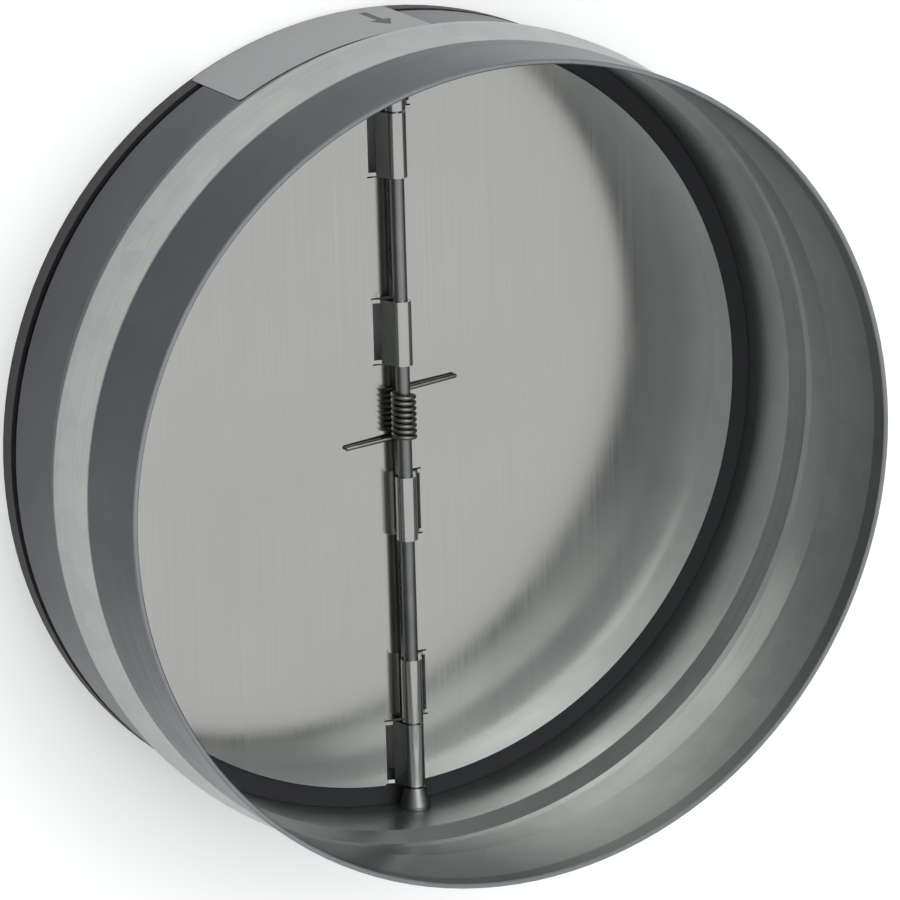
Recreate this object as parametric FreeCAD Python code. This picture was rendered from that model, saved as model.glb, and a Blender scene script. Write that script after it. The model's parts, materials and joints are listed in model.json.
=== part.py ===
"""Spring-closed duct backdraft damper: a short beaded duct casing with two half-round flaps.

Millimetres. +Z runs along the duct with the air, from the inlet edge at z = 0 to the outlet
edge. The hinge pin lies along Y, so the left flap is on the -X side and the right one on +X.
"""
import FreeCAD, Part
import cmath
import math
import os

V = FreeCAD.Vector

# Casing, rolled from galvanised sheet
casing_diameter = 199.0
casing_length = 75.0
casing_sheet = 0.6
hem_depth = 5.0
bead_height = 1.8
bead_start = 28.5
bead_inlet_run = 5.5
bead_crest = 2.5
bead_outlet_run = 13.0
hem_edge = 0.25
neck_length = 6.0
neck_run = 1.8

# Rubber seal pushed over the inlet edge
seal_wall = 1.2
seal_skirt = 4.8
seal_rim = 0.8
seal_lip = 1.7
seal_overlap = 3.6
seal_fit = 0.05
seal_slope_gap = 0.3

# Flaps, pressed from aluminium sheet
flap_sheet = 0.8
flap_wall_gap = 5.3
flap_seat_gap = 0.2
flap_split = 1.6
flap_corner = 2.0
knuckle_width = 16.0
knuckle_axial_gap = 0.5
inner_knuckle_start = 14.0
end_knuckle_inset = 0.6
knuckle_lift = 1.2
knuckle_ramp_angle = 20.0
knuckle_tail_angle = 22.0
knuckle_tail_gap = 0.15
knuckle_foot = 2.0
tail_slot_reach = 0.5
tail_slot_margin = 0.9
tongue_relief = 0.4

# Hinge pin and the bush on each of its ends
pin_diameter = 3.5
pin_inset = 0.05
pin_chamfer = 0.2
running_fit = 0.05
pin_fit = 0.03
bush_diameter = 5.2
flange_diameter = 7.6
flange_thickness = 0.8
flange_wall_gap = 0.05

# Torsion spring round the pin
wire_diameter = 1.2
wire_sides = 8
coil_clearance = 0.2
coil_start = -4.5
coil_pitch = 1.42
coil_turns = 8
leg_reach_left = 14.0
leg_reach_right = 15.5
leg_gap = 0.15

# Places that follow from the sizes above
casing_radius = casing_diameter / 2
bore_radius = casing_radius - casing_sheet
neck_radius = casing_radius - seal_wall
flap_radius = bore_radius - flap_wall_gap
lip_radius = flap_radius - seal_overlap
seal_height = neck_length + neck_run + seal_rim
flap_base = seal_height + flap_seat_gap
flap_face = flap_base + flap_sheet
pin_radius = pin_diameter / 2
eye_inner = pin_radius + running_fit
eye_outer = eye_inner + flap_sheet
pin_height = flap_face + eye_outer + knuckle_lift
end_knuckle_start = flap_radius - end_knuckle_inset - knuckle_width
outer_knuckle_end = end_knuckle_start - knuckle_axial_gap
bush_start = end_knuckle_start + knuckle_width + knuckle_axial_gap


def straight_path(corners):
    """Edges of an open path in the XZ plane."""
    points = [V(x, 0, z) for x, z in corners]
    return [Part.LineSegment(a, b).toShape() for a, b in zip(points, points[1:])]


def face_of(edges):
    return Part.Face(Part.Wire(Part.__sortEdges__(edges)))


def ring(edges):
    """Solid of revolution about the duct axis from a closed section in the XZ plane."""
    return face_of(edges).revolve(V(0, 0, 0), V(0, 0, 1), 360)


def wall_line(inset):
    """Corners of the casing wall, from the necked inlet edge up to the outlet hem."""
    crest_start = bead_start + bead_inlet_run
    crest_end = crest_start + bead_crest
    return [
        (neck_radius - inset, seal_wall + seal_fit),
        (neck_radius - inset, neck_length),
        (casing_radius - inset, neck_length + neck_run),
        (casing_radius - inset, bead_start),
        (casing_radius + bead_height - inset, crest_start),
        (casing_radius + bead_height - inset, crest_end),
        (casing_radius - inset, crest_end + bead_outlet_run),
    ]


def make_casing():
    """One rolled sheet with a bead, an outlet edge folded back inside and two holes for the pin."""
    hem_radius = casing_radius - 2 * casing_sheet
    hem_bottom = casing_length - hem_depth
    hem_top = casing_length - hem_edge
    hem = [
        (casing_radius, hem_top),
        (casing_radius - hem_edge, casing_length),
        (hem_radius + hem_edge, casing_length),
        (hem_radius, hem_top),
        (hem_radius, hem_bottom),
        (bore_radius, hem_bottom),
    ]
    outside = wall_line(0)
    inside = wall_line(casing_sheet)
    wall = ring(straight_path(outside + hem + inside[::-1] + outside[:1]))
    hole_radius = pin_radius + pin_fit
    drill_start = V(0, -casing_radius, pin_height)
    return wall.cut(Part.makeCylinder(hole_radius, casing_diameter, drill_start, V(0, 1, 0)))


def make_inlet_seal():
    """Channel-shaped rubber ring on the inlet edge, with the flat lip that the flaps shut on."""
    skirt_inner = neck_radius + seal_fit
    channel_inner = neck_radius - casing_sheet - seal_fit
    rim_outer = bore_radius - 2 * seal_fit
    lip_base = seal_height - seal_lip
    section = [
        (channel_inner - seal_wall, 0),
        (casing_radius, 0),
        (casing_radius, seal_skirt),
        (skirt_inner, seal_skirt),
        (skirt_inner, seal_wall),
        (channel_inner, seal_wall),
        (channel_inner, neck_length + seal_slope_gap),
        (rim_outer, neck_length + neck_run + seal_slope_gap),
        (rim_outer, seal_height),
        (lip_radius, seal_height),
        (lip_radius, lip_base + seal_lip / 2),
        (channel_inner - seal_wall, lip_base),
        (channel_inner - seal_wall, 0),
    ]
    return ring(straight_path(section))


def knuckle(start):
    """Tongue of the right flap: a ramp up under the pin, a curl over it and a tail above a slot."""
    tail = math.radians(knuckle_tail_angle)
    ramp = math.radians(knuckle_ramp_angle)
    curl_end = math.radians(270) - ramp

    def on_eye(radius, angle):
        return V(radius * math.cos(angle), 0, radius * math.sin(angle))

    def down_to(level, point, way):
        return point + way * ((level - point.z) / way.z)

    face_z = flap_face - pin_height
    base_z = flap_base - pin_height
    tail_way = V(math.sin(tail), 0, -math.cos(tail))
    ramp_way = V(math.cos(ramp), 0, -math.sin(ramp))
    ramp_up = V(math.sin(ramp), 0, math.cos(ramp))
    edges = []
    for radius in (eye_inner, eye_outer):
        middle = on_eye(radius, (tail + curl_end) / 2)
        edges.append(Part.Arc(on_eye(radius, tail), middle, on_eye(radius, curl_end)).toShape())
    height = (on_eye(eye_inner, tail) - on_eye(eye_inner, curl_end)).dot(ramp_up)
    tail_length = (knuckle_tail_gap - height) / tail_way.dot(ramp_up)
    inner_end = on_eye(eye_inner, tail) + tail_way * tail_length
    outer_end = down_to(inner_end.z, on_eye(eye_outer, tail), tail_way)
    inner_foot = down_to(face_z, on_eye(eye_inner, curl_end), ramp_way)
    outer_foot = down_to(base_z, on_eye(eye_outer, curl_end), ramp_way)
    far = outer_foot.x + knuckle_foot
    runs = [
        [on_eye(eye_inner, tail), inner_end, outer_end, on_eye(eye_outer, tail)],
        [on_eye(eye_inner, curl_end), inner_foot, V(far, 0, face_z), V(far, 0, base_z), outer_foot,
         on_eye(eye_outer, curl_end)],
    ]
    for run in runs:
        edges += straight_path([(point.x, point.z) for point in run])
    slot_start = V((inner_end.x + outer_end.x) / 2, tail_slot_margin, base_z)
    slot = Part.makeBox(
        inner_foot.x + tail_slot_reach - slot_start.x,
        knuckle_width - 2 * tail_slot_margin,
        inner_end.z - knuckle_tail_gap / 2 - base_z,
        slot_start,
    )
    tongue = face_of(edges).extrude(V(0, knuckle_width, 0)).cut(slot)
    tongue.translate(V(0, start, pin_height))
    return tongue, outer_foot.x + knuckle_foot / 2


def make_right_flap():
    """Half disc with three curled knuckles on the pin; the left flap is the same pressing."""
    disc = Part.makeCylinder(flap_radius, flap_sheet, V(0, 0, flap_base))
    width = 2 * flap_radius
    half = Part.makeBox(width, width, flap_sheet, V(flap_split / 2, -flap_radius, flap_base))
    plate = disc.common(half)
    corners = [edge for edge in plate.Edges
               if edge.BoundBox.ZLength > flap_sheet / 2 and edge.BoundBox.XMax < flap_split]
    plate = plate.makeFillet(flap_corner, corners)
    for start in (-inner_knuckle_start - knuckle_width, -outer_knuckle_end, end_knuckle_start):
        tongue, slot_end = knuckle(start)
        slot_start = start - tongue_relief
        slot_stop = start + knuckle_width + tongue_relief
        if slot_stop > flap_radius - flap_corner:
            slot_stop = flap_radius
        slot = Part.makeBox(slot_end, slot_stop - slot_start, flap_sheet, V(0, slot_start, flap_base))
        plate = plate.cut(slot).fuse(tongue)
    return plate.removeSplitter()


def make_left_flap():
    flap = make_right_flap()
    flap.rotate(V(0, 0, 0), V(0, 0, 1), 180)
    return flap


def make_hinge_pin():
    """Straight steel pin, with its ends in the holes of the casing wall."""
    reach = casing_radius - pin_inset
    pin = Part.makeCylinder(pin_radius, 2 * reach, V(0, -reach, pin_height), V(0, 1, 0))
    ends = [edge for edge in pin.Edges if isinstance(edge.Curve, Part.Circle)]
    return pin.makeChamfer(pin_chamfer, ends)


def make_upper_bush():
    """Tapered steel bush on the pin, with a flange that rests on the casing wall."""
    inner = pin_radius + pin_fit
    flange_radius = flange_diameter / 2
    bush_end = math.sqrt(bore_radius ** 2 - flange_radius ** 2) - flange_wall_gap
    bush = ring(straight_path([
        (inner, bush_start),
        (bush_diameter / 2, bush_start),
        (flange_radius, bush_end - flange_thickness),
        (flange_radius, bush_end),
        (inner, bush_end),
        (inner, bush_start),
    ]))
    bush.rotate(V(0, 0, 0), V(1, 0, 0), -90)
    bush.translate(V(0, 0, pin_height))
    return bush


def make_lower_bush():
    bush = make_upper_bush()
    bush.rotate(V(0, 0, 0), V(0, 0, 1), 180)
    return bush


def make_torsion_spring():
    """Open coil on the pin, with a straight leg lying on the face of each flap."""
    wire_radius = wire_diameter / 2
    coil_radius = pin_radius + coil_clearance + wire_radius
    leg_z = flap_face + leg_gap + wire_radius - pin_height

    def touch_angle(tip_x):
        """Angle round the pin at which a leg to that tip leaves the underside of the coil."""
        tip = complex(tip_x, leg_z)
        swing = math.acos(coil_radius / abs(tip))
        return cmath.phase(tip) + math.copysign(swing, -tip_x)

    start = touch_angle(-leg_reach_left) % (2 * math.pi)
    sweep = 2 * math.pi * coil_turns + touch_angle(leg_reach_right) % (2 * math.pi) - start
    rise = coil_pitch / (2 * math.pi)
    helix = Part.makeHelix(coil_pitch, rise * sweep, coil_radius)
    helix.rotate(V(0, 0, 0), V(1, 0, 0), -90)
    helix = helix.mirror(V(0, 0, 0), V(0, 0, 1))
    helix.rotate(V(0, 0, 0), V(0, 1, 0), -math.degrees(start))
    helix.translate(V(0, coil_start, pin_height))
    coil = helix.Edges
    first = coil[0].valueAt(coil[0].FirstParameter)
    last = coil[-1].valueAt(coil[-1].LastParameter)
    first_way = coil[0].tangentAt(coil[0].FirstParameter)
    last_way = coil[-1].tangentAt(coil[-1].LastParameter)
    left_tip = first - first_way * ((first.x + leg_reach_left) / first_way.x)
    right_tip = last + last_way * ((leg_reach_right - last.x) / last_way.x)
    left_leg = Part.LineSegment(left_tip, first).toShape()
    right_leg = Part.LineSegment(last, right_tip).toShape()
    path = Part.Wire([left_leg] + coil + [right_leg])
    across = first_way.cross(V(0, 1, 0)).normalize()
    upward = first_way.cross(across)
    corners = []
    for side in range(wire_sides):
        angle = 2 * math.pi * (side + 0.5) / wire_sides
        corners.append(left_tip + (across * math.cos(angle) + upward * math.sin(angle)) * wire_radius)
    section = Part.makePolygon(corners + corners[:1])
    return path.makePipeShell([section], True, False)


SUBPARTS = {
    "casing": make_casing,
    "inlet_seal": make_inlet_seal,
    "left_flap": make_left_flap,
    "right_flap": make_right_flap,
    "hinge_pin": make_hinge_pin,
    "torsion_spring": make_torsion_spring,
    "upper_bush": make_upper_bush,
    "lower_bush": make_lower_bush,
}

if __name__ == "__main__":
    os.makedirs("parts", exist_ok=True)
    for name, make in SUBPARTS.items():
        make().exportStep(f"parts/{name}.step")
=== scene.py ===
import json
import math

import bmesh
import bpy
from mathutils import Matrix, Vector


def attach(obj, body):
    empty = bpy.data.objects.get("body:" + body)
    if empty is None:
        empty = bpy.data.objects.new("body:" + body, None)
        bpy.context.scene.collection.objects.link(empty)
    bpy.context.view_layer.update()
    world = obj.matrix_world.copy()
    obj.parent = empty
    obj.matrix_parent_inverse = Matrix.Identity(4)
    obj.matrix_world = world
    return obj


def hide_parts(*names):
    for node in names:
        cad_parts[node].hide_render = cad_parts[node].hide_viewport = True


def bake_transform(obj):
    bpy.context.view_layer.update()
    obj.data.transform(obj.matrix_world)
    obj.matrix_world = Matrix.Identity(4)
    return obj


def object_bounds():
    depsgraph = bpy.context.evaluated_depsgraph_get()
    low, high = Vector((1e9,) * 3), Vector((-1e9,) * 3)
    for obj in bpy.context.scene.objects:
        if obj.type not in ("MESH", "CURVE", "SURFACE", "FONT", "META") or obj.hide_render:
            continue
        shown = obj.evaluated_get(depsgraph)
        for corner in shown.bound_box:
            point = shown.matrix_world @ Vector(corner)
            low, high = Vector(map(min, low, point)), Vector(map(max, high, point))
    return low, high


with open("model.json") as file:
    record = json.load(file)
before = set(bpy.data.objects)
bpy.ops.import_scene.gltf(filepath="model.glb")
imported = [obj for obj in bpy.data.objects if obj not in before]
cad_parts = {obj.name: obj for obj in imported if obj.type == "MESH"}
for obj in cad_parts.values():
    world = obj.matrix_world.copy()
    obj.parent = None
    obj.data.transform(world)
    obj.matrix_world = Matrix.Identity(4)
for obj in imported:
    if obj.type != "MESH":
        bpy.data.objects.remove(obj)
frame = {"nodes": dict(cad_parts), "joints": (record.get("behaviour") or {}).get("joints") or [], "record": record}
cad_low, cad_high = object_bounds()


# Casing
# A short length of round duct, rolled from galvanised steel sheet, with a raised bead round its
# middle that stops the two ducts. The outlet edge is folded back inside; the inlet edge is necked.
mm = 0.001
mounts = {mount["name"]: mount for mount in frame["record"]["mounts"]}
casing_radius = mounts["outlet_spigot"]["dims"]["r_mm"] * mm
casing_height = cad_high.z - cad_low.z
bead_bottom = mounts["inlet_spigot"]["pos_m"][2] + mounts["inlet_spigot"]["dims"]["length_mm"] * mm / 2
bead_top = mounts["outlet_spigot"]["pos_m"][2] - mounts["outlet_spigot"]["dims"]["length_mm"] * mm / 2
bead_slope = 13 * mm
bead_flat = 2.5 * mm
bead_crest = bead_top - bead_slope - bead_flat
hem_depth = 5 * mm
hem_bottom = casing_height - hem_depth
edge_blur = 0.4 * mm


def linear(hex_colour):
    """Linear RGBA of an sRGB colour such as #a0b0c0."""
    shares = [int(hex_colour[place:place + 2], 16) / 255 for place in (1, 3, 5)]
    return [s / 12.92 if s <= 0.04045 else ((s + 0.055) / 1.055) ** 2.4 for s in shares] + [1.0]


def start_material(name):
    """A new material and its surface shader."""
    material = bpy.data.materials.new(name)
    material.use_nodes = True
    return material, material.node_tree.nodes["Principled BSDF"]


def add(material, kind, settings=None, inputs=None):
    """Adds one shader node with its settings, and sets or links its sockets."""
    made = material.node_tree.nodes.new(kind)
    for setting, value in (settings or {}).items():
        setattr(made, setting, value)
    for socket, value in (inputs or {}).items():
        if isinstance(value, bpy.types.NodeSocket):
            material.node_tree.links.new(value, made.inputs[socket])
        else:
            made.inputs[socket].default_value = value
    return made


def connect(material, output, socket):
    material.node_tree.links.new(output, socket)


# Hot-dip galvanised sheet: a thin zinc coat with faint crystals about 7 mm across and rolling
# streaks round the duct. The base colour also holds painted light: the outside is painted dark as
# painted shade, the crest and outlet slope of the bead carry a painted highlight, the inside is
# painted paler and darker towards the outlet hem, and upward-facing edges get a lighter painted tone.
galvanised, shader = start_material("galvanised_steel")
position = add(galvanised, "ShaderNodeTexCoord").outputs["Object"]
crystal_size = 7 * mm
streak_width = 0.9 * mm
streak_length = 90 * mm
cloud_size = 28 * mm
grit_size = 0.35 * mm

flat_place = add(galvanised, "ShaderNodeVectorMath", {"operation": "MULTIPLY"},
                 {0: position, 1: (1, 1, 0)}).outputs[0]
radial = add(galvanised, "ShaderNodeVectorMath", {"operation": "NORMALIZE"}, {0: flat_place}).outputs[0]
facing = add(galvanised, "ShaderNodeNewGeometry").outputs["Normal"]
outward = add(galvanised, "ShaderNodeVectorMath", {"operation": "DOT_PRODUCT"},
              {0: facing, 1: radial}).outputs["Value"]
outside = add(galvanised, "ShaderNodeMapRange", {},
              {"Value": outward, "From Min": 0.1, "From Max": 0.5}).outputs["Result"]
height = add(galvanised, "ShaderNodeSeparateXYZ", {}, {0: position}).outputs["Z"]
height_share = add(galvanised, "ShaderNodeMapRange", {},
                   {"Value": height, "From Min": 0.0, "From Max": casing_height}).outputs["Result"]

outside_painted_light_tones = add(galvanised, "ShaderNodeValToRGB", {}, {"Fac": height_share})
inside_painted_light_tones = add(galvanised, "ShaderNodeValToRGB", {}, {"Fac": height_share})
# Outside tones, painted light: the spigots are painted dark as painted shade, and the crest and outlet slope of
# the bead are painted light as a painted highlight.
outside_painted_light_stops = [
    (0.0, "#47484c"),
    (bead_bottom, "#47484c"),
    (bead_bottom + 2 * edge_blur, "#505155"),
    (bead_crest - edge_blur, "#56575a"),
    (bead_crest + edge_blur, "#9c9e9c"),
    (bead_top - edge_blur, "#a2a4a1"),
    (bead_top + edge_blur, "#383a3e"),
    (casing_height, "#3a3c40"),
]
# Inside tones, painted light: paler than the outside, and darker towards the folded hem at the outlet.
inside_painted_light_stops = [
    (0.0, "#a2a7a6"),
    (bead_crest, "#b0b5b4"),
    (bead_top, "#8e9392"),
    (hem_bottom - edge_blur, "#7a7f7e"),
    (hem_bottom + edge_blur, "#5c6160"),
    (casing_height, "#5c6160"),
]
for tones, stops in ((outside_painted_light_tones, outside_painted_light_stops), (inside_painted_light_tones, inside_painted_light_stops)):
    elements = tones.color_ramp.elements
    while len(elements) < len(stops):
        elements.new(1.0)
    for element, (place, tone) in zip(elements, stops):
        element.position = place / casing_height
        element.color = linear(tone)

sheet_painted_light_tone = add(galvanised, "ShaderNodeMix", {"data_type": "RGBA"},
                 {0: outside, 6: inside_painted_light_tones.outputs[0], 7: outside_painted_light_tones.outputs[0]}).outputs[2]
# Faces that point upwards, such as the top of the folded outlet edge, get the lighter #8a8c8d as painted light
# from above.
facing_up = add(galvanised, "ShaderNodeSeparateXYZ", {}, {0: facing}).outputs["Z"]
painted_top_light_mask = add(galvanised, "ShaderNodeMapRange", {},
                  {"Value": facing_up, "From Min": 0.4, "From Max": 0.8}).outputs["Result"]
painted_light_tone = add(galvanised, "ShaderNodeMix", {"data_type": "RGBA"},
                 {0: painted_top_light_mask, 6: sheet_painted_light_tone, 7: linear("#8a8c8d")}).outputs[2]
crystals = add(galvanised, "ShaderNodeTexVoronoi", {},
               {"Vector": position, "Scale": 1 / crystal_size}).outputs["Color"]
crystal_shade = add(galvanised, "ShaderNodeMapRange", {},
                    {"Value": crystals, "To Min": 0.93, "To Max": 1.05}).outputs["Result"]
streak_place = add(galvanised, "ShaderNodeVectorMath", {"operation": "MULTIPLY"},
                   {0: position, 1: (1 / streak_length, 1 / streak_length, 1 / streak_width)}).outputs[0]
streaks = add(galvanised, "ShaderNodeTexNoise", {},
              {"Vector": streak_place, "Scale": 1.0, "Detail": 2.0}).outputs["Fac"]
streak_shade = add(galvanised, "ShaderNodeMapRange", {},
                   {"Value": streaks, "From Min": 0.3, "From Max": 0.7,
                    "To Min": 0.94, "To Max": 1.06}).outputs["Result"]
shade = add(galvanised, "ShaderNodeMath", {"operation": "MULTIPLY"},
            {0: crystal_shade, 1: streak_shade}).outputs[0]
shaded_tone = add(galvanised, "ShaderNodeMix", {"data_type": "RGBA", "blend_type": "MULTIPLY"},
                  {0: 1.0, 6: painted_light_tone, 7: shade}).outputs[2]
clouds = add(galvanised, "ShaderNodeTexNoise", {},
             {"Vector": position, "Scale": 1 / cloud_size, "Detail": 1.0}).outputs["Fac"]
wear = add(galvanised, "ShaderNodeMath", {"operation": "MULTIPLY"}, {0: clouds, 1: streaks}).outputs[0]
sheet_roughness = add(galvanised, "ShaderNodeMapRange", {},
                      {"Value": wear, "From Min": 0.1, "From Max": 0.45,
                       "To Min": 0.3, "To Max": 0.42}).outputs["Result"]
grit = add(galvanised, "ShaderNodeTexNoise", {},
           {"Vector": position, "Scale": 1 / grit_size, "Detail": 1.0}).outputs["Fac"]
relief = add(galvanised, "ShaderNodeMath", {"operation": "ADD"}, {0: streaks, 1: grit}).outputs[0]
sheet_bump = add(galvanised, "ShaderNodeBump", {},
                 {"Height": relief, "Strength": 0.12, "Distance": 0.05 * mm}).outputs["Normal"]
shader.inputs["Metallic"].default_value = 1.0
connect(galvanised, shaded_tone, shader.inputs["Base Color"])
connect(galvanised, sheet_roughness, shader.inputs["Roughness"])
connect(galvanised, sheet_bump, shader.inputs["Normal"])
frame["nodes"]["casing"].data.materials[0] = galvanised


# Sticker
# A paper sticker wrapped on the inlet spigot, over the edge of the seal and up to the bead, with
# a plain printed arrow that shows which way the air goes.
label_base = 0.7 * mm
label_bead_gap = 0.4 * mm
label_top = bead_bottom - label_bead_gap
label_start = math.radians(87.8)
label_end = math.radians(118.3)
label_lift = 0.03 * mm
label_thickness = 0.12 * mm
label_corner = 1.2 * mm
corner_steps = 4
wrap_step = 2.0 * mm


def wrapped_sheet(name, outline, lift, thickness):
    """A thin closed sheet wrapped on the casing, from an outline in arc length and height."""
    sheet = bmesh.new()
    sheet.faces.new([sheet.verts.new((along, up, 0)) for along, up in outline])
    first = min(along for along, up in outline)
    last = max(along for along, up in outline)
    cut = first + wrap_step
    while cut < last:
        everything = sheet.verts[:] + sheet.edges[:] + sheet.faces[:]
        bmesh.ops.bisect_plane(sheet, geom=everything, plane_co=(cut, 0, 0), plane_no=(1, 0, 0))
        cut += wrap_step
    raised = bmesh.ops.extrude_face_region(sheet, geom=sheet.faces[:], use_keep_orig=True)
    for part in raised["geom"]:
        if isinstance(part, bmesh.types.BMVert):
            part.co.z = thickness
    for vertex in sheet.verts:
        angle = vertex.co.x / casing_radius
        radius = casing_radius + lift + vertex.co.z
        vertex.co = Vector((radius * math.cos(angle), radius * math.sin(angle), vertex.co.y))
    bmesh.ops.recalc_face_normals(sheet, faces=sheet.faces[:])
    mesh = bpy.data.meshes.new(name)
    sheet.to_mesh(mesh)
    sheet.free()
    made = bpy.data.objects.new(name, mesh)
    bpy.context.scene.collection.objects.link(made)
    return made


label_outline = []
label_left = label_start * casing_radius + label_corner
label_right = label_end * casing_radius - label_corner
label_low = label_base + label_corner
label_high = label_top - label_corner
for along, up, turn in [
        (label_right, label_high, 0),
        (label_left, label_high, 90),
        (label_left, label_low, 180),
        (label_right, label_low, 270)]:
    for step in range(corner_steps + 1):
        angle = math.radians(turn + 90 * step / corner_steps)
        label_outline.append((along + label_corner * math.cos(angle), up + label_corner * math.sin(angle)))
label = wrapped_sheet("label", label_outline, label_lift, label_thickness)

# Matt coated paper, grey: half matt, with a faint mottle of its fibres.
paper, shader = start_material("matt_paper")
fibre_size = 0.8 * mm
position = add(paper, "ShaderNodeTexCoord").outputs["Object"]
fibres = add(paper, "ShaderNodeTexNoise", {},
             {"Vector": position, "Scale": 1 / fibre_size, "Detail": 3.0}).outputs["Fac"]
paper_tone = add(paper, "ShaderNodeMix", {"data_type": "RGBA"},
                 {0: fibres, 6: linear("#8a8a8b"), 7: linear("#959595")}).outputs[2]
paper_bump = add(paper, "ShaderNodeBump", {},
                 {"Height": fibres, "Strength": 0.15, "Distance": 0.03 * mm}).outputs["Normal"]
shader.inputs["Roughness"].default_value = 0.55
shader.inputs["IOR"].default_value = 1.5
connect(paper, paper_tone, shader.inputs["Base Color"])
connect(paper, paper_bump, shader.inputs["Normal"])
label.data.materials.append(paper)
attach(label, "casing")

arrow_angle = math.radians(92.3)
arrow_tail = 5.5 * mm
arrow_tip = 21 * mm
arrow_head = 6 * mm
arrow_shaft_half = 0.9 * mm
arrow_head_half = 2.8 * mm
ink_thickness = 0.02 * mm
arrow_middle = arrow_angle * casing_radius
arrow_neck = arrow_tip - arrow_head
arrow_outline = [
    (arrow_middle - arrow_shaft_half, arrow_tail),
    (arrow_middle + arrow_shaft_half, arrow_tail),
    (arrow_middle + arrow_shaft_half, arrow_neck),
    (arrow_middle + arrow_head_half, arrow_neck),
    (arrow_middle, arrow_tip),
    (arrow_middle - arrow_head_half, arrow_neck),
    (arrow_middle - arrow_shaft_half, arrow_neck),
]
arrow = wrapped_sheet("label_arrow", arrow_outline, label_lift + label_thickness, ink_thickness)

# Black printing ink on the paper, slightly uneven where the paper's grain shows through.
ink, shader = start_material("printing_ink")
position = add(ink, "ShaderNodeTexCoord").outputs["Object"]
uneven = add(ink, "ShaderNodeTexNoise", {},
             {"Vector": position, "Scale": 1 / fibre_size, "Detail": 2.0}).outputs["Fac"]
ink_tone = add(ink, "ShaderNodeMix", {"data_type": "RGBA"},
               {0: uneven, 6: linear("#232325"), 7: linear("#39393b")}).outputs[2]
shader.inputs["Roughness"].default_value = 0.5
connect(ink, ink_tone, shader.inputs["Base Color"])
arrow.data.materials.append(ink)
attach(arrow, "casing")


# Inlet seal
# A black rubber channel pushed over the necked inlet edge. Its flat lip inside is the seat that
# both flaps shut on.
# Moulded EPDM: almost black, matt, with a fine dusty grain and slightly greyer worn patches.
rubber, shader = start_material("epdm_rubber")
rubber_grain = 0.5 * mm
dust_size = 14 * mm
position = add(rubber, "ShaderNodeTexCoord").outputs["Object"]
grain = add(rubber, "ShaderNodeTexNoise", {},
            {"Vector": position, "Scale": 1 / rubber_grain, "Detail": 1.0}).outputs["Fac"]
dust = add(rubber, "ShaderNodeTexNoise", {},
           {"Vector": position, "Scale": 1 / dust_size, "Detail": 2.0}).outputs["Fac"]
rubber_tone = add(rubber, "ShaderNodeMix", {"data_type": "RGBA"},
                  {0: dust, 6: linear("#141416"), 7: linear("#212124")}).outputs[2]
rubber_roughness = add(rubber, "ShaderNodeMapRange", {},
                       {"Value": dust, "To Min": 0.45, "To Max": 0.7}).outputs["Result"]
rubber_bump = add(rubber, "ShaderNodeBump", {},
                  {"Height": grain, "Strength": 0.2, "Distance": 0.05 * mm}).outputs["Normal"]
shader.inputs["IOR"].default_value = 1.5
connect(rubber, rubber_tone, shader.inputs["Base Color"])
connect(rubber, rubber_roughness, shader.inputs["Roughness"])
connect(rubber, rubber_bump, shader.inputs["Normal"])
frame["nodes"]["inlet_seal"].data.materials[0] = rubber


# Hinge pin and bushes
# A straight steel pin across the duct, with its ends in two holes of the casing wall. A tapered
# steel bush on each end keeps the flaps off the wall.
# Dull zinc plate: a middle grey metal, half matt, with soft drawn lines and small stains.
zinc, shader = start_material("zinc_plated_steel")
stain_size = 6 * mm
drawn_width = 0.25 * mm
drawn_length = 30 * mm
position = add(zinc, "ShaderNodeTexCoord").outputs["Object"]
stains = add(zinc, "ShaderNodeTexNoise", {},
             {"Vector": position, "Scale": 1 / stain_size, "Detail": 4.0}).outputs["Fac"]
drawn_place = add(zinc, "ShaderNodeVectorMath", {"operation": "MULTIPLY"},
                  {0: position, 1: (1 / drawn_width, 1 / drawn_length, 1 / drawn_width)}).outputs[0]
drawn = add(zinc, "ShaderNodeTexNoise", {},
            {"Vector": drawn_place, "Scale": 1.0, "Detail": 3.0}).outputs["Fac"]
zinc_tone = add(zinc, "ShaderNodeMix", {"data_type": "RGBA"},
                {0: stains, 6: linear("#6e706e"), 7: linear("#8a8c8a")}).outputs[2]
zinc_roughness = add(zinc, "ShaderNodeMapRange", {},
                     {"Value": drawn, "To Min": 0.28, "To Max": 0.42}).outputs["Result"]
zinc_bump = add(zinc, "ShaderNodeBump", {},
                {"Height": drawn, "Strength": 0.06, "Distance": 0.03 * mm}).outputs["Normal"]
shader.inputs["Metallic"].default_value = 1.0
connect(zinc, zinc_tone, shader.inputs["Base Color"])
connect(zinc, zinc_roughness, shader.inputs["Roughness"])
connect(zinc, zinc_bump, shader.inputs["Normal"])
for name in ("hinge_pin", "upper_bush", "lower_bush"):
    frame["nodes"][name].data.materials[0] = zinc


# Flaps
# Two half discs pressed from thin aluminium sheet, each with three tongues curled round the pin.
# They swing open with the air and lie on the seal when shut.
# Mill-finish aluminium: a soft mirror with straight rolling lines and a slightly wavy sheet.
aluminium, shader = start_material("mill_finish_aluminium")
rolling_width = 0.6 * mm
rolling_length = 120 * mm
haze_size = 35 * mm
wave_size = 60 * mm
position = add(aluminium, "ShaderNodeTexCoord").outputs["Object"]
rolling_place = add(aluminium, "ShaderNodeVectorMath", {"operation": "MULTIPLY"},
                    {0: position, 1: (1 / rolling_width, 1 / rolling_length, 1 / rolling_width)}).outputs[0]
rolling = add(aluminium, "ShaderNodeTexNoise", {},
              {"Vector": rolling_place, "Scale": 1.0, "Detail": 2.0}).outputs["Fac"]
haze = add(aluminium, "ShaderNodeTexNoise", {},
           {"Vector": position, "Scale": 1 / haze_size, "Detail": 2.0}).outputs["Fac"]
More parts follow.
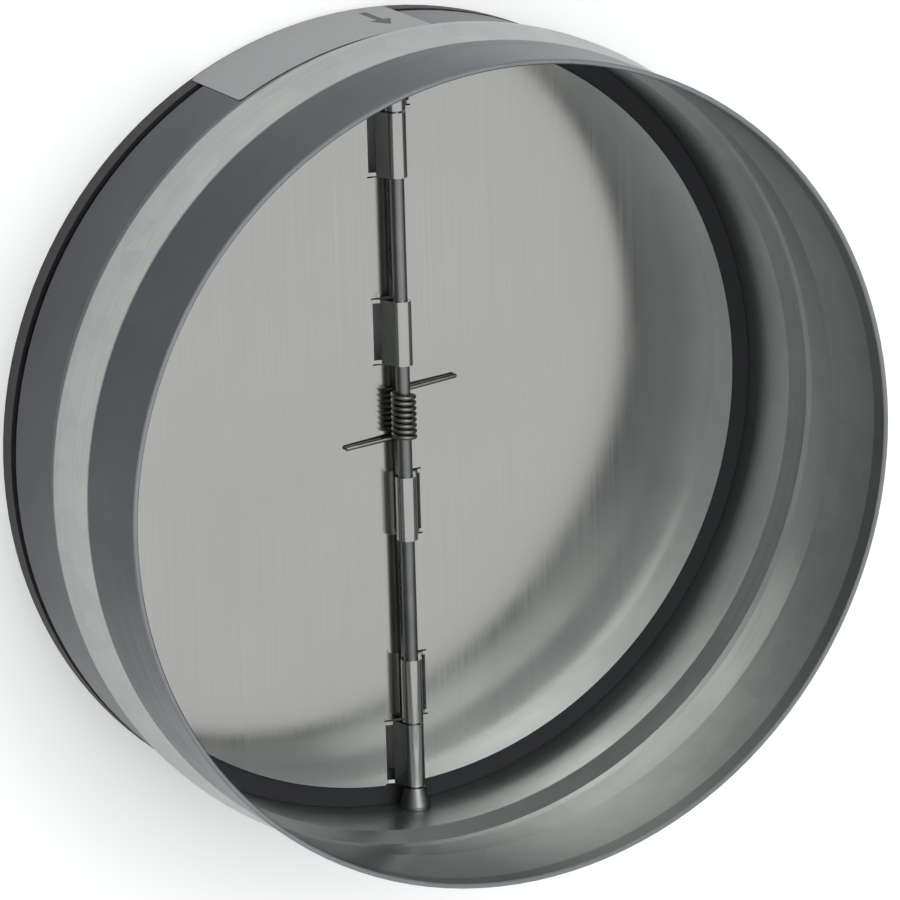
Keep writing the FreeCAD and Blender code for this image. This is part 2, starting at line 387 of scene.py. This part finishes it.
waves = add(aluminium, "ShaderNodeTexNoise", {},
            {"Vector": position, "Scale": 1 / wave_size, "Detail": 0.0}).outputs["Fac"]
flap_mix = add(aluminium, "ShaderNodeMath", {"operation": "MULTIPLY"}, {0: rolling, 1: haze}).outputs[0]
flap_tone = add(aluminium, "ShaderNodeMix", {"data_type": "RGBA"},
                {0: flap_mix, 6: linear("#b5b4b0"), 7: linear("#c5c4c0")}).outputs[2]
flap_roughness = add(aluminium, "ShaderNodeMapRange", {},
                     {"Value": flap_mix, "From Min": 0.1, "From Max": 0.45,
                      "To Min": 0.11, "To Max": 0.18}).outputs["Result"]
fine_bump = add(aluminium, "ShaderNodeBump", {},
                {"Height": rolling, "Strength": 0.06, "Distance": 0.03 * mm}).outputs["Normal"]
flap_bump = add(aluminium, "ShaderNodeBump", {},
                {"Height": waves, "Strength": 0.5, "Distance": 0.6 * mm,
                 "Normal": fine_bump}).outputs["Normal"]
shader.inputs["Metallic"].default_value = 1.0
connect(aluminium, flap_tone, shader.inputs["Base Color"])
connect(aluminium, flap_roughness, shader.inputs["Roughness"])
connect(aluminium, flap_bump, shader.inputs["Normal"])
for name in ("left_flap", "right_flap"):
    frame["nodes"][name].data.materials[0] = aluminium


# Torsion spring
# An open coil of spring wire round the middle of the pin, with one straight leg on each flap.
hinge_height = frame["joints"][0]["pos_m"][2]
wire_radius = 0.6 * mm
coil_radius = 2.55 * mm
coil_start = -4.5 * mm
coil_pitch = 1.42 * mm
coil_turns = 8
leg_reach_left = 14 * mm
leg_reach_right = 15.5 * mm
leg_drop = -3.05 * mm
wire_sides = 14
points_per_turn = 36
leg_steps = 4
tip_steps = 3
tip_round = math.radians(84)
small_turn = 0.001


def touch_angle(tip_x):
    """Angle round the pin at which a leg to that tip leaves the underside of the coil."""
    swing = math.acos(coil_radius / math.hypot(tip_x, leg_drop))
    return (math.atan2(leg_drop, tip_x) + math.copysign(swing, -tip_x)) % math.tau


coil_first = touch_angle(-leg_reach_left)
coil_sweep = math.tau * coil_turns + touch_angle(leg_reach_right) - coil_first


def on_coil(turned):
    """Point of the wire's middle line after that much turning, in radians."""
    angle = coil_first + turned
    return Vector((coil_radius * math.cos(angle), coil_start + coil_pitch * turned / math.tau,
                   hinge_height + coil_radius * math.sin(angle)))


def wire_tube(name, path):
    """A closed round wire along a path, with its far end rounded off."""
    tube = bmesh.new()
    rings = []
    across = (path[1] - path[0]).orthogonal().normalized()
    tip_way = (path[-1] - path[-2]).normalized()
    points = [(point, wire_radius) for point in path]
    for step in range(1, tip_steps + 1):
        bend = tip_round * step / tip_steps
        points.append((path[-1] + tip_way * wire_radius * math.sin(bend), wire_radius * math.cos(bend)))
    for index, (point, radius) in enumerate(points):
        before = points[max(index - 1, 0)][0]
        after = points[min(index + 1, len(points) - 1)][0]
        way = (after - before).normalized()
        across = (across - way * across.dot(way)).normalized()
        beside = way.cross(across)
        ring = []
        for side in range(wire_sides):
            angle = math.tau * side / wire_sides
            outward_way = across * math.cos(angle) + beside * math.sin(angle)
            ring.append(tube.verts.new(point + outward_way * radius))
        rings.append(ring)
    for ring, following in zip(rings, rings[1:]):
        for side in range(wire_sides):
            other = (side + 1) % wire_sides
            tube.faces.new([ring[side], ring[other], following[other], following[side]])
    tube.faces.new(rings[0])
    tube.faces.new(rings[-1])
    bmesh.ops.recalc_face_normals(tube, faces=tube.faces[:])
    mesh = bpy.data.meshes.new(name)
    tube.to_mesh(mesh)
    tube.free()
    for face in mesh.polygons:
        face.use_smooth = len(face.vertices) == 4
    made = bpy.data.objects.new(name, mesh)
    bpy.context.scene.collection.objects.link(made)
    return made


# Oiled spring steel wire: brownish grey, half glossy, with darker smears of oil.
spring_steel, shader = start_material("oiled_spring_steel")
oil_size = 2.5 * mm
position = add(spring_steel, "ShaderNodeTexCoord").outputs["Object"]
oil = add(spring_steel, "ShaderNodeTexNoise", {},
          {"Vector": position, "Scale": 1 / oil_size, "Detail": 3.0}).outputs["Fac"]
spring_tone = add(spring_steel, "ShaderNodeMix", {"data_type": "RGBA"},
                  {0: oil, 6: linear("#64625d"), 7: linear("#86837c")}).outputs[2]
spring_roughness = add(spring_steel, "ShaderNodeMapRange", {},
                       {"Value": oil, "To Min": 0.24, "To Max": 0.4}).outputs["Result"]
shader.inputs["Metallic"].default_value = 1.0
connect(spring_steel, spring_tone, shader.inputs["Base Color"])
connect(spring_steel, spring_roughness, shader.inputs["Roughness"])

half_points = coil_turns * points_per_turn // 2
halves = [
    ("spring_left_half", "left_flap", 0.0, -leg_reach_left, wire_radius),
    ("spring_right_half", "right_flap", coil_sweep, leg_reach_right, -wire_radius),
]
for name, flap, end_turn, tip_x, end_shift in halves:
    route = []
    for point in range(half_points + 1):
        route.append(on_coil(coil_sweep / 2 + (end_turn - coil_sweep / 2) * point / half_points))
    leg_start = route[-1]
    leg_way = (leg_start - on_coil(end_turn - math.copysign(small_turn, tip_x))).normalized()
    tip = leg_start + leg_way * ((tip_x - leg_start.x) / leg_way.x)
    for step in range(1, leg_steps + 1):
        route.append(leg_start.lerp(tip, step / leg_steps))
    half = wire_tube(name, route)
    half.data.materials.append(spring_steel)
    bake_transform(half)
    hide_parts("torsion_spring")


# Studio
# A plain pale floor that the damper stands on, in even bright light from all round, with one
# large round softbox high above it.
floor_size = 6.0
floor_glow = 0.18
covered_radius = 0.95 * casing_radius
bpy.ops.mesh.primitive_plane_add(size=floor_size)
floor = bpy.context.object
floor.name = "floor"
# Matt white paper sweep: almost white, with no gloss. A faint glow lifts it to plain white where it
# is seen, and stops at the damper, so that the slots of the flaps don't show it.
sweep, shader = start_material("white_paper_sweep")
shader.inputs["Base Color"].default_value = linear("#f6f6f5")
shader.inputs["Roughness"].default_value = 0.9
shader.inputs["Specular IOR Level"].default_value = 0.0
shader.inputs["Emission Color"].default_value = linear("#ffffff")
looking = add(sweep, "ShaderNodeLightPath").outputs
mirrored = add(sweep, "ShaderNodeMath", {"operation": "MAXIMUM"},
               {0: looking["Is Glossy Ray"], 1: looking["Is Transmission Ray"]}).outputs[0]
seen = add(sweep, "ShaderNodeMath", {"operation": "MAXIMUM"},
           {0: looking["Is Camera Ray"], 1: mirrored}).outputs[0]
position = add(sweep, "ShaderNodeTexCoord").outputs["Object"]
from_middle = add(sweep, "ShaderNodeVectorMath", {"operation": "LENGTH"}, {0: position}).outputs["Value"]
uncovered = add(sweep, "ShaderNodeMapRange", {},
                {"Value": from_middle, "From Min": covered_radius, "From Max": casing_radius,
                 "To Max": floor_glow}).outputs["Result"]
glow = add(sweep, "ShaderNodeMath", {"operation": "MULTIPLY"}, {0: seen, 1: uncovered}).outputs[0]
connect(sweep, glow, shader.inputs["Emission Strength"])
floor.data.materials.append(sweep)

world = bpy.data.worlds.new("studio_air")
world.use_nodes = True
world.node_tree.nodes["Background"].inputs["Color"].default_value = linear("#f4f6f8")
world.node_tree.nodes["Background"].inputs["Strength"].default_value = 0.92
bpy.context.scene.world = world


def softbox(name, direction, distance, size, power):
    """A round area light that looks at the middle of the damper."""
    middle = (cad_low + cad_high) / 2
    lamp = bpy.data.lights.new(name, "AREA")
    lamp.shape = "DISK"
    lamp.size = size
    lamp.energy = power
    made = bpy.data.objects.new(name, lamp)
    made.location = middle + Vector(direction).normalized() * distance
    made.rotation_euler = (made.location - middle).to_track_quat("Z", "Y").to_euler()
    bpy.context.scene.collection.objects.link(made)


softbox("key_softbox", direction=(0.05, 0.30, 0.95), distance=1.6, size=1.2, power=9)


# Camera
# A long lens above the outlet, looking down along the duct from the left, turned so that the
# hinge pin stands upright in the picture.
view_azimuth = math.radians(-122.15)
view_elevation = math.radians(59.256)
view_roll = math.radians(116.788)
view_distance = 1.43158
view_target = Vector((-0.0001, -0.0016, 0.0379))
camera_lens = 240.0
sensor_width = 36.0
backward = Vector((math.sin(view_azimuth) * math.cos(view_elevation),
                   -math.cos(view_azimuth) * math.cos(view_elevation), math.sin(view_elevation)))
lens = bpy.data.cameras.new("camera")
lens.lens = camera_lens
lens.sensor_width = sensor_width
camera = bpy.data.objects.new("camera", lens)
bpy.context.scene.collection.objects.link(camera)
level = (-backward).to_track_quat("-Z", "Y").to_matrix().to_4x4()
camera.matrix_world = (Matrix.Translation(view_target + backward * view_distance) @ level
                       @ Matrix.Rotation(view_roll, 4, "Z"))
bpy.context.scene.camera = camera
bpy.context.scene.view_settings.view_transform = "Standard"
